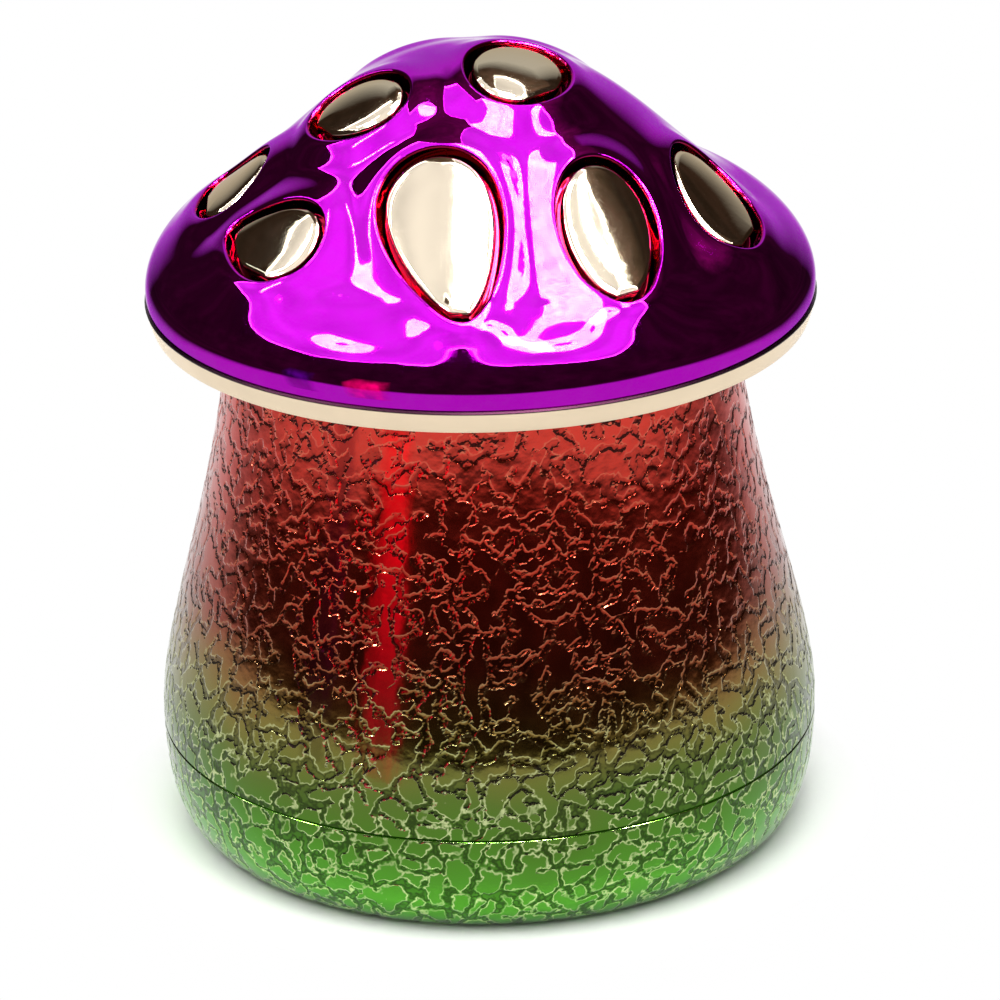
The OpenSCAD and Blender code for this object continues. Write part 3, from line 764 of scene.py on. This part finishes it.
class Nodes:
    """A short way to write a node tree."""

    def __init__(self, name):
        self.material = bpy.data.materials.new(name)
        self.material.use_nodes = True
        self.tree = self.material.node_tree
        self.shader = self.tree.nodes["Principled BSDF"]

    def add(self, kind, inputs=None, **settings):
        node = self.tree.nodes.new(kind)
        for key, value in settings.items():
            setattr(node, key, value)
        for key, value in (inputs or {}).items():
            self.put(node.inputs[key], value)
        return node

    def put(self, socket, value):
        if isinstance(value, bpy.types.NodeSocket):
            self.tree.links.new(value, socket)
        else:
            socket.default_value = value

    def set(self, **inputs):
        names = {
            "color": "Base Color", "metallic": "Metallic", "roughness": "Roughness", "normal": "Normal",
            "coat": "Coat Weight", "coat_roughness": "Coat Roughness", "edge_tint": "Specular Tint",
        }
        for key, value in inputs.items():
            self.put(self.shader.inputs[names[key]], value)

    def place(self, scale=(1, 1, 1)):
        """Object coordinates, stretched."""
        where = self.add("ShaderNodeTexCoord")
        stretched = self.add("ShaderNodeMapping", {"Vector": where.outputs["Object"], "Scale": scale})
        return stretched.outputs[0]

    def noise(self, place, scale, detail=2.0, rough=0.5):
        return self.add("ShaderNodeTexNoise", {
            "Vector": place, "Scale": scale, "Detail": detail, "Roughness": rough,
        }).outputs["Fac"]

    def range(self, value, low, high, to_low, to_high):
        return self.add("ShaderNodeMapRange", {
            "Value": value, "From Min": low, "From Max": high, "To Min": to_low, "To Max": to_high,
        }).outputs[0]

    def mix(self, share, a, b):
        node = self.add("ShaderNodeMix", data_type="RGBA")
        self.put(node.inputs[0], share)
        self.put(node.inputs[6], a)
        self.put(node.inputs[7], b)
        return node.outputs[2]

    def math(self, operation, *values):
        return self.add("ShaderNodeMath", dict(enumerate(values)), operation=operation).outputs[0]

    def bump(self, height, strength, distance, under=None):
        inputs = {"Height": height, "Strength": strength, "Distance": distance}
        if under:
            inputs["Normal"] = under
        return self.add("ShaderNodeBump", inputs).outputs[0]

    def attribute(self, name):
        return self.add("ShaderNodeAttribute", attribute_name=name).outputs["Fac"]

    def ramp(self, value, stops):
        node = self.add("ShaderNodeValToRGB", {"Fac": value})
        ramp = node.color_ramp
        while len(ramp.elements) < len(stops):
            ramp.elements.new(0.5)
        for element, (at, colour) in zip(ramp.elements, stops):
            element.position = at
            element.color = colour
        return node.outputs[0]


def lacquer(name):
    """Tinted lacquer over bright metal: red at the top, olive below, green at the foot."""
    m = Nodes(name)
    where = m.add("ShaderNodeTexCoord").outputs["Object"]
    height = m.add("ShaderNodeSeparateXYZ", {"Vector": where}).outputs[2]
    wander = m.noise(where, 90, 2)
    level = m.math("MULTIPLY_ADD", wander, 0.006, height)
    share = m.range(level, 0.003, 0.055, 0, 1)
    colour = m.ramp(share, [
        (0.0, linear(74, 154, 32)),
        (0.12, linear(80, 148, 40)),
        (0.2, linear(76, 120, 34)),
        (0.27, linear(88, 112, 42)),
        (0.36, linear(122, 112, 52)),
        (0.5, linear(140, 60, 40)),
        (0.75, linear(186, 52, 40)),
        (1.0, linear(214, 62, 50)),
    ])
    ragged = m.noise(where, 1400, 1.5)
    edge = m.math("MULTIPLY_ADD", m.math("SUBTRACT", ragged, 0.5), RAGGED, m.attribute("inside"))
    plate = m.range(edge, -0.15, 0.13, 0, 1)
    # Painted highlight: a pale line just inside each island's edge, broken into pieces by noise and
    # fainter towards the neck.
    rim = m.math("MULTIPLY", m.range(edge, -0.02, 0.05, 0, 1), m.range(edge, 0.08, 0.18, 1, 0))
    highlight_breaks = m.range(m.noise(where, 700, 1), 0.35, 0.6, 0.35, 1)
    rim = m.math("MULTIPLY", m.math("MULTIPLY", rim, highlight_breaks), m.range(share, 0.25, 0.5, 0.95, 0.15))
    # Painted shade: a dark line in each channel beside the islands' edges, fainter towards the neck.
    corner = m.math("MULTIPLY", m.range(edge, -0.3, -0.18, 0, 1), m.range(edge, -0.12, -0.03, 1, 0))
    corner = m.math("MULTIPLY", corner, m.range(share, 0.25, 0.55, 0.6, 0.2))
    # Painted shade: the channels between the islands are darkened, more towards the foot, and the dark
    # line above is laid on top.
    dark = linear(20, 22, 6)
    colour = m.mix(plate, m.mix(m.range(share, 0.2, 0.6, 0.3, 0.14), colour, dark), colour)
    colour = m.mix(corner, colour, dark)
    colour = m.mix(rim, colour, m.mix(0.6, colour, linear(240, 248, 185)))
    swell = m.math("MULTIPLY_ADD", m.noise(where, 420, 2), 0.5, plate)
    swell = m.math("MULTIPLY_ADD", m.noise(where, 1000, 2), 0.16, swell)
    swell = m.math("MULTIPLY", swell, m.range(m.attribute("outer"), 0.9, 1, 0, 1))
    m.set(
        color=colour, metallic=1.0, coat=0.15, coat_roughness=0.03,
        roughness=m.range(m.noise(where, 420, 3), 0.3, 0.7, 0.08, 0.13),
        normal=m.bump(swell, 1.0, STEP_HEIGHT),
    )
    return m.material


def plating(name, colour, rough, edge_tint, coat, texture, groove=None):
    """Tinted mirror plating with faint waviness and a fine texture of the given depth in metres."""
    m = Nodes(name)
    where = m.place()
    wave = m.noise(where, 160, 2)
    fine = m.noise(where, 1900, 3, 0.6)
    tint = m.mix(m.range(wave, 0.35, 0.65, 0, 0.14), colour, tuple(c * 0.8 for c in colour[:3]) + (1,))
    if groove:
        tint = m.mix(m.attribute("groove"), tint, groove)
    m.set(
        color=tint, metallic=1.0, coat=coat, coat_roughness=0.02, edge_tint=edge_tint,
        roughness=m.range(fine, 0.3, 0.7, rough * 0.7, rough * 1.4),
        normal=m.bump(fine, 1.0, texture, m.bump(wave, 0.12, 0.0002)),
    )
    return m.material


def satin(name, colour, rough, grain=(60, 60, 1800), seam=None):
    """Turned satin metal with lines round the axis, and a painted shadow line just under a seam at a
    given height.
    """
    m = Nodes(name)
    lines = m.noise(m.place(grain), 1.0, 3, 0.6)
    cloud = m.noise(m.place(), 240, 3)
    tint = m.mix(m.range(cloud, 0.35, 0.65, 0, 0.25), colour, tuple(c * 0.82 for c in colour[:3]) + (1,))
    if seam is not None:
        # Painted shadow: the band is darkened from just under the seam upwards, where the gap to the cap
        # lies in shade.
        height = m.add("ShaderNodeSeparateXYZ", {"Vector": m.place()}).outputs[2]
        near = m.range(height, seam - GAP_SHADE_WIDTH, seam - GAP_SHADE_WIDTH * 0.7, 0, 1)
        tint = m.mix(near, tint, linear(22, 8, 16))
    m.set(
        color=tint, metallic=1.0,
        roughness=m.range(lines, 0.3, 0.7, rough * 0.85, rough * 1.2),
        normal=m.bump(lines, 0.12, 0.00002),
    )
    return m.material


def nylon(name):
    m = Nodes(name)
    cloud = m.noise(m.place(), 300, 3)
    m.set(
        color=m.mix(cloud, linear(236, 233, 224), linear(216, 212, 200)),
        roughness=m.range(cloud, 0.3, 0.7, 0.35, 0.5),
        normal=m.bump(cloud, 0.2, 0.00005),
    )
    return m.material


def wear(obj, material):
    if obj.data.materials:
        for i in range(len(obj.data.materials)):
            obj.data.materials[i] = material
    else:
        obj.data.materials.append(material)


# ---- Build the pieces ----
def place_piece(obj, material, body, node):
    """Dress a piece, fix it to its body and let it stand for a node of the frame."""
    wear(obj, material)
    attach(obj, body)
    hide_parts(node)


def build_tray():
    inside = [
        (RIM_EDGE_R, TRAY_TOP_Z), (TRAY_BORE_R, TRAY_TOP_Z), (TRAY_BORE_R, 5.6), (26.8, 5.6), (26.8, 3.2),
        (25.2, TRAY_FLOOR), (0.4, TRAY_FLOOR), (0.4, 0), (26.0, 0),
    ]
    return join([
        build_body("tray_skin", 0.02, TRAY_TOP_Z - 0.14, inside),
        helix("tray_thread", TRAY_BORE_R, FOOT_THREAD_Z, True),
    ], "tray_skin")


def build_stem():
    neck = [(23.65, STEM_TOP_Z), (NECK_BORE_R, STEM_TOP_Z), (NECK_BORE_R, 40.35)]
    bowl = [(float(body_radius(z)) - STEM_WALL, z) for z in np.linspace(40.0, 14.0, 14)]
    skirt = [
        (24.65, 9.65), (24.65, 7.65), (25.55, 7.65), (25.55, 5.9),
        (SKIRT_R, 5.9), (SKIRT_R, STEM_Z), (SEAM_EDGE_R, STEM_Z),
    ]
    return join([
        build_body("stem_skin", STEM_Z + 0.08, STEM_TOP_Z - 0.2, neck + bowl + skirt),
        helix("stem_thread_low", SKIRT_R, FOOT_THREAD_Z, False),
        helix("stem_thread_high", NECK_BORE_R, NECK_THREAD_Z, True),
    ], "stem_skin")


lacquer_material = lacquer("lacquer")
cap_material = plating(
    "purple_plating", linear(170, 0, 181), rough=0.035, edge_tint=linear(200, 20, 225),
    coat=0.12, texture=0.0000003, groove=linear(140, 0, 40),
)
gold_material = plating(
    "gold_plating", linear(178, 168, 147), rough=0.06, edge_tint=linear(225, 210, 190),
    coat=0.1, texture=0.000003,
)
champagne = linear(232, 213, 184)
band_material = satin("champagne_satin", champagne, 0.33)
steel_material = satin("steel", linear(196, 198, 202), 0.25, (900, 60, 60))
magnet_material = plating(
    "magnet_plating", linear(205, 206, 210), rough=0.12, edge_tint=(1, 1, 1, 1),
    coat=0.0, texture=0.000001,
)
nylon_material = nylon("nylon")

place_piece(build_cap(), cap_material, "lid", "cap_shell")
for i, spot in enumerate(spots):
    place_piece(build_inlay(i + 1, spot), gold_material, "lid", f"spot_{i + 1}")

for body, build in (("tray", build_tray), ("stem", build_stem)):
    piece = build()
    sharp_edges(piece, 30)
    calm_skin(piece)
    place_piece(piece, lacquer_material, body, body)

seam_height = (nodes["lid_plate"].matrix_world.inverted() @ Vector((0, 0, CAP_Z * MM))).z
wear(nodes["lid_plate"], satin("lid_satin", champagne, 0.33, seam=seam_height))
wear(nodes["grind_chamber"], band_material)
wear(nodes["sieve_keeper_ring"], band_material)
wear(nodes["sieve_screen"], steel_material)
wear(nodes["chamber_magnet"], magnet_material)
wear(nodes["lid_magnet"], magnet_material)
wear(nodes["slip_ring"], nylon_material)


# ---- Stage ----
def seen_as_background(tree):
    """1 for camera, glossy and transmission rays."""
    path = tree.nodes.new("ShaderNodeLightPath")
    first = tree.nodes.new("ShaderNodeMath")
    first.operation = "MAXIMUM"
    tree.links.new(path.outputs["Is Camera Ray"], first.inputs[0])
    tree.links.new(path.outputs["Is Glossy Ray"], first.inputs[1])
    second = tree.nodes.new("ShaderNodeMath")
    second.operation = "MAXIMUM"
    tree.links.new(first.outputs[0], second.inputs[0])
    tree.links.new(path.outputs["Is Transmission Ray"], second.inputs[1])
    return second.outputs[0]


def build_floor():
    """White table: plain near the object, so that its shadow shows, and background white further out."""
    mesh = bpy.data.meshes.new("floor")
    size = 4.0
    corners = [(-size, -size, 0), (size, -size, 0), (size, size, 0), (-size, size, 0)]
    mesh.from_pydata(corners, [], [(0, 1, 2, 3)])
    floor = bpy.data.objects.new("floor", mesh)
    bpy.context.scene.collection.objects.link(floor)
    m = Nodes("floor")
    where = m.add("ShaderNodeTexCoord").outputs["Object"]
    away = m.add("ShaderNodeVectorMath", {0: where}, operation="LENGTH").outputs["Value"]
    far = m.range(away, FLOOR_PLAIN, FLOOR_WHITE, 0, 1)
    m.set(color=(0.9, 0.9, 0.9, 1), roughness=0.9)
    glow = m.add("ShaderNodeEmission", {"Color": (1, 1, 1, 1), "Strength": 1.0})
    share = m.math("MULTIPLY", far, seen_as_background(m.tree))
    blend = m.add("ShaderNodeMixShader", {0: share, 1: m.shader.outputs[0], 2: glow.outputs[0]})
    m.put(m.tree.nodes["Material Output"].inputs["Surface"], blend.outputs[0])
    floor.data.materials.append(m.material)


def build_world():
    world = bpy.data.worlds.new("studio")
    bpy.context.scene.world = world
    world.use_nodes = True
    tree = world.node_tree
    background = tree.nodes["Background"]
    background.inputs["Color"].default_value = (1, 1, 1, 1)
    strength = tree.nodes.new("ShaderNodeMapRange")
    tree.links.new(seen_as_background(tree), strength.inputs["Value"])
    strength.inputs["To Min"].default_value = 0.45
    strength.inputs["To Max"].default_value = 1.0
    tree.links.new(strength.outputs[0], background.inputs["Strength"])


def stage_card(name, mesh, material):
    """A studio card that only reflections see."""
    card = bpy.data.objects.new(name, mesh)
    bpy.context.scene.collection.objects.link(card)
    card.data.materials.append(material)
    card.visible_camera = False
    card.visible_shadow = False
    card.visible_diffuse = False
    return card


def build_dim_room():
    """Dim room past the table's edge and over it, open to the white backdrop behind the object."""
    profile = [(r, CARD_LIFT) for r in (0.1, 0.22, 0.34, 0.5, 0.75, 1.2)]
    profile += [(1.4, 0.4), (1.2, 0.9), (0.7, 1.2), (0.01, 1.3)]
    bearings = np.radians(np.arange(0, 360, 5))
    n = len(bearings)
    points = [(r * math.sin(b), -r * math.cos(b), z) for r, z in profile for b in bearings]
    faces = [
        (i * n + j, i * n + (j + 1) % n, (i + 1) * n + (j + 1) % n, (i + 1) * n + j)
        for i in range(len(profile) - 1) for j in range(n)
    ]
    mesh = bpy.data.meshes.new("dim_room")
    mesh.from_pydata(points, [], faces)
    m = Nodes("dim_room")
    where = m.add("ShaderNodeTexCoord").outputs["Object"]
    away = m.add("ShaderNodeVectorMath", {0: where}, operation="LENGTH").outputs["Value"]
    heading = m.add("ShaderNodeVectorMath", {0: where}, operation="NORMALIZE").outputs["Vector"]
    flat = m.place((1, 1, 0))
    level = m.add("ShaderNodeVectorMath", {0: flat}, operation="NORMALIZE").outputs["Vector"]
    rise = m.add("ShaderNodeSeparateXYZ", {"Vector": heading}).outputs[2]
    sideways, behind, _ = m.add("ShaderNodeSeparateXYZ", {"Vector": level}).outputs
    further = m.range(behind, -0.5, 0.4, 0, 1.4)
    stretch = m.math("MULTIPLY_ADD", further, m.range(sideways, -1, 1, 1, 1.22), 1)
    closed = m.math("MAXIMUM", m.range(behind, 0.8, 0.94, 1, 0), m.range(rise, 0.66, 0.78, 0, 1))
    upper = m.math("MULTIPLY_ADD", m.range(rise, 0.7, 0.95, 0, 3), m.range(sideways, 0, 0.7, 1, 2.5), 1)
    fade = m.add("ShaderNodeMapRange", {
        "Value": m.math("MULTIPLY", away, stretch),
        "From Min": 0.34,
        "From Max": 0.6,
    }, interpolation_type="SMOOTHSTEP").outputs[0]
    cover = m.math("MULTIPLY", closed, fade)
    clutter = m.noise(m.place((5, 5, 1.2)), 1.0, 3, 0.6)
    room = m.add("ShaderNodeEmission", {
        "Color": m.ramp(clutter, [
            (0.3, (0.03, 0.02, 0.013, 1)),
            (0.5, (0.05, 0.03, 0.021, 1)),
            (0.7, (0.08, 0.045, 0.034, 1)),
        ]),
        "Strength": upper,
    })
    clear = m.add("ShaderNodeBsdfTransparent")
    blend = m.add("ShaderNodeMixShader", {0: cover, 1: clear.outputs[0], 2: room.outputs[0]})
    m.put(m.tree.nodes["Material Output"].inputs["Surface"], blend.outputs[0])
    stage_card("dim_room", mesh, m.material)


def glow(name, colour, low, high, scale, faded=False):
    """Uneven glow between two strengths, with patches set by a scale along each axis.

    A faded glow is as clear as the card's own cover says.
    """
    m = Nodes(name)
    shade = m.range(m.noise(m.place(scale), 1.0, 2), 0.35, 0.65, low, high)
    light = m.add("ShaderNodeEmission", {"Color": colour, "Strength": shade})
    surface = light
    if faded:
        clear = m.add("ShaderNodeBsdfTransparent")
        surface = m.add("ShaderNodeMixShader", {
            0: m.attribute("cover"),
            1: clear.outputs[0],
            2: light.outputs[0],
        })
    m.put(m.tree.nodes["Material Output"].inputs["Surface"], surface.outputs[0])
    return m.material


def upright_card(name, place, width, height, material):
    """A card that stands on the table, faces the object and fades at its sides, foot and top."""
    x, y = place
    away = math.hypot(x, y)
    columns = [(-0.5, 0), (-0.25, 1), (0.25, 1), (0.5, 0)]
    rows = [(0, 0.35), (0.45, 0.5), (0.75, 1), (1, 0)]
    points = [
        (x - y / away * across * width, y + x / away * across * width, 0.001 + up * height)
        for up, _ in rows for across, _ in columns
    ]
    faces = [(4 * i + j, 4 * i + j + 1, 4 * i + j + 5, 4 * i + j + 4) for i in range(3) for j in range(3)]
    mesh = bpy.data.meshes.new(name)
    mesh.from_pydata(points, [], faces)
    layer = mesh.attributes.new("cover", "FLOAT", "POINT")
    layer.data.foreach_set("value", [a * b for _, a in rows for _, b in columns])
    stage_card(name, mesh, material)


def overhead_card(name, outline, height, material):
    """A level card over the object, from the corners of its outline in metres."""
    mesh = bpy.data.meshes.new(name)
    mesh.from_pydata([(x, y, height) for x, y in outline], [], [tuple(range(len(outline)))])
    stage_card(name, mesh, material)


def oval(x, y, width, depth):
    """Corners of an oval about a place."""
    turns = np.radians(np.arange(0, 360, 15))
    return [(x + width / 2 * math.cos(a), y + depth / 2 * math.sin(a)) for a in turns]


def build_overhead():
    """Wide soft box with a slanted back edge, bright strips under it and the heads of the lamps."""
    outline = [
        (0, -0.92), (0.1, -0.86), (0.2, -0.76), (0.5, -0.77), (0.75, -0.72), (0.82, -0.55), (0.79, -0.3),
        (0.72, -0.14), (0.55, -0.06), (0.42, 0), (0.3, 0.12), (0.22, 0.26), (0.1, 0.36), (0.02, 0.33),
        (0, 0.1), (-0.12, 0), (-0.24, 0.27), (-0.5, 0.27), (-0.75, 0.35), (-1, 0.45), (-1.1, 0.2),
        (-1.1, -0.2), (-0.95, -0.5), (-0.7, -0.63), (-0.42, -0.66), (-0.34, -0.86), (-0.2, -0.93),
    ]
    panel_glow = glow("panel_glow", (0.97, 0.95, 1.0, 1), 1.55, 2.2, (3, 3, 3))
    overhead_card("panel", outline, PANEL_HEIGHT, panel_glow)
    rim = [
        (x * PANEL_RIM_SCALE, (y - PANEL_MIDDLE_Y) * PANEL_RIM_SCALE + PANEL_MIDDLE_Y)
        for x, y in outline
    ]
    overhead_card("panel_rim", rim, PANEL_RIM_HEIGHT, glow("rim_glow", (1, 1, 1, 1), 16, 30, (9, 9, 9)))
    strip_glow = glow("strip_glow", (1, 1, 1, 1), 90, 130, (20, 20, 20))
    overhead_card("strip_middle", [
        (-0.05, 0.08), (0.11, 0.08), (0.16, -0.08), (0.17, -0.26), (0.21, -0.33), (0.27, -0.44),
        (0.2, -0.48), (0.08, -0.38), (0.03, -0.3), (-0.06, -0.27), (-0.08, -0.2), (-0.05, -0.1),
    ], STRIP_HEIGHT, strip_glow)
    overhead_card("strip_right", [
        (0.28, 0.12), (0.34, 0.1), (0.38, -0.05), (0.42, -0.17), (0.36, -0.2), (0.31, -0.08), (0.29, 0),
    ], STRIP_HEIGHT, strip_glow)
    overhead_card("strip_left", [
        (-0.35, 0.12), (-0.5, 0.07), (-0.72, 0.02), (-0.72, -0.02), (-0.5, 0.03), (-0.37, 0.07),
    ], STRIP_HEIGHT, strip_glow)
    head_glow = glow("head_glow", (1, 1, 1, 1), 1.2, 2.0, (20, 20, 20))
    overhead_card("head_left", oval(-0.428, -0.242, 0.06, 0.04), HEAD_HEIGHT, head_glow)
    overhead_card("head_right", oval(0.228, -0.302, 0.05, 0.035), HEAD_HEIGHT, head_glow)


def area_light(name, place, target, size, radiance, mirrored):
    """An oval soft box of an even radiance, seen by mirrors only or by plain surfaces only."""
    lamp = bpy.data.lights.new(name, "AREA")
    lamp.shape = "ELLIPSE"
    lamp.size, lamp.size_y = size
    lamp.energy = radiance * math.pi * math.pi / 4 * size[0] * size[1]
    obj = bpy.data.objects.new(name, lamp)
    obj.location = place
    obj.rotation_euler = (Vector(place) - Vector(target)).to_track_quat("Z", "Y").to_euler()
    obj.visible_camera = False
    obj.visible_glossy = mirrored
    obj.visible_diffuse = not mirrored
    bpy.context.scene.collection.objects.link(obj)


def build_camera():
    camera = bpy.data.cameras.new("camera")
    camera.lens = CAMERA_LENS
    camera.sensor_width = 36
    camera.shift_x, camera.shift_y = CAMERA_SHIFT
    camera.clip_start = 0.01
    camera.clip_end = 20
    obj = bpy.data.objects.new("camera", camera)
    elevation = math.radians(CAMERA_ELEVATION)
    rise = CAMERA_AWAY * math.sin(elevation)
    obj.location = (0, -CAMERA_AWAY * math.cos(elevation), LOOK_HEIGHT + rise)
    look = Vector((0, 0, LOOK_HEIGHT)) - obj.location
    roll = Matrix.Rotation(math.radians(CAMERA_ROLL), 3, "Z")
    obj.rotation_euler = (look.to_track_quat("-Z", "Y").to_matrix() @ roll).to_euler()
    bpy.context.scene.collection.objects.link(obj)
    bpy.context.scene.camera = obj


build_floor()
build_world()
build_dim_room()
build_overhead()
red_glow = glow("red_glow", (1, 0.015, 0.15, 1), 0.8, 2.8, (110, 110, 30), faded=True)
violet_glow = glow("violet_glow", (0.5, 0.06, 1, 1), 0.1, 0.45, (110, 110, 30), faded=True)
upright_card("red_card", (-0.08, -0.116), 0.038, 0.075, red_glow)
upright_card("violet_card", (-0.119, -0.078), 0.03, 0.07, violet_glow)
area_light("key", (-0.1, -0.3, 0.66), (0, 0, 0), (1.2, 1.0), 1.7, mirrored=False)
area_light("lamp_left", (-0.46, -0.26, 0.61), (0, 0, 0.06), (0.26, 0.2), 110, mirrored=True)
area_light("lamp_right", (0.245, -0.325, 0.61), (0, 0, 0.06), (0.2, 0.17), 110, mirrored=True)
build_camera()

bpy.context.scene.view_settings.view_transform = "Standard"
